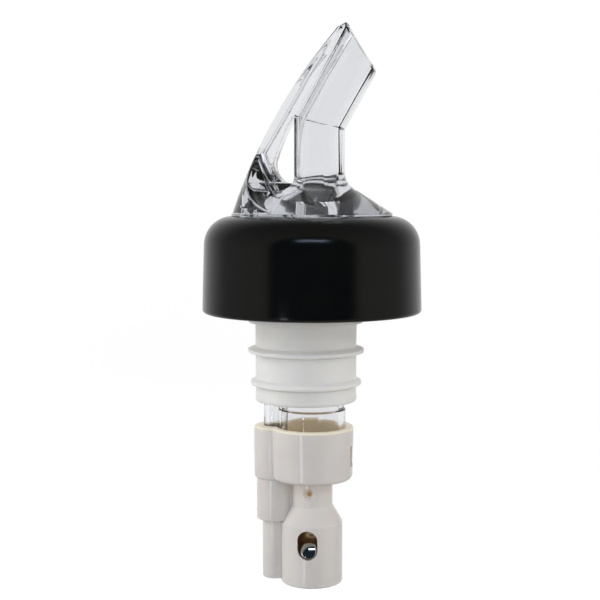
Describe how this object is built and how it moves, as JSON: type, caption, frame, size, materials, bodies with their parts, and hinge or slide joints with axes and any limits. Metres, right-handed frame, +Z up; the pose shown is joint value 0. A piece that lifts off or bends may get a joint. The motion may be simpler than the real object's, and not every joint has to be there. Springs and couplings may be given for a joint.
{
  "type": "liquor pour spout",
  "caption": "Measured pour spout: clear slanted nozzle with a vent arm, black collar, finned cork and an off-white ball valve below.",
  "frame": {"origin": "on the cork's axis, level with the underside of its flange, where the bottle's lip rests", "axes": "+Z up out of the bottle to the nozzle; +X the side that liquor pours from; -X the breather's side"},
  "size_m": [0.0399, 0.0398, 0.1019],
  "materials": {
    "clear_plastic": "clear, polished moulding",
    "black_plastic": "satin gloss",
    "natural_plastic": "soft, milky, slightly translucent",
    "ivory_plastic": "semi-gloss moulding",
    "polished_steel": "polished bearing balls"
  },
  "bodies": {
    "body": {"spout": "clear_plastic", "collar": "black_plastic", "cork": "natural_plastic", "valve_housing": "ivory_plastic", "chamber_cap": "ivory_plastic"},
    "timing": {"timing_ball": "polished_steel"},
    "shutoff": {"shutoff_ball": "polished_steel"},
    "breather": {"breather_ball": "polished_steel"}
  },
  "joints": [
    {"name": "timing_ball_travel", "type": "slide", "parent": "body", "child": "timing", "axis": [0, 0, 1], "range_m": [0, 0.0049]},
    {"name": "shutoff_ball_travel", "type": "slide", "parent": "body", "child": "shutoff", "axis": [0, 0, 1], "range_m": [0, 0.0075]},
    {"name": "breather_ball_travel", "type": "slide", "parent": "body", "child": "breather", "axis": [0, 0, 1], "range_m": [0, 0.0052]}
  ]
}
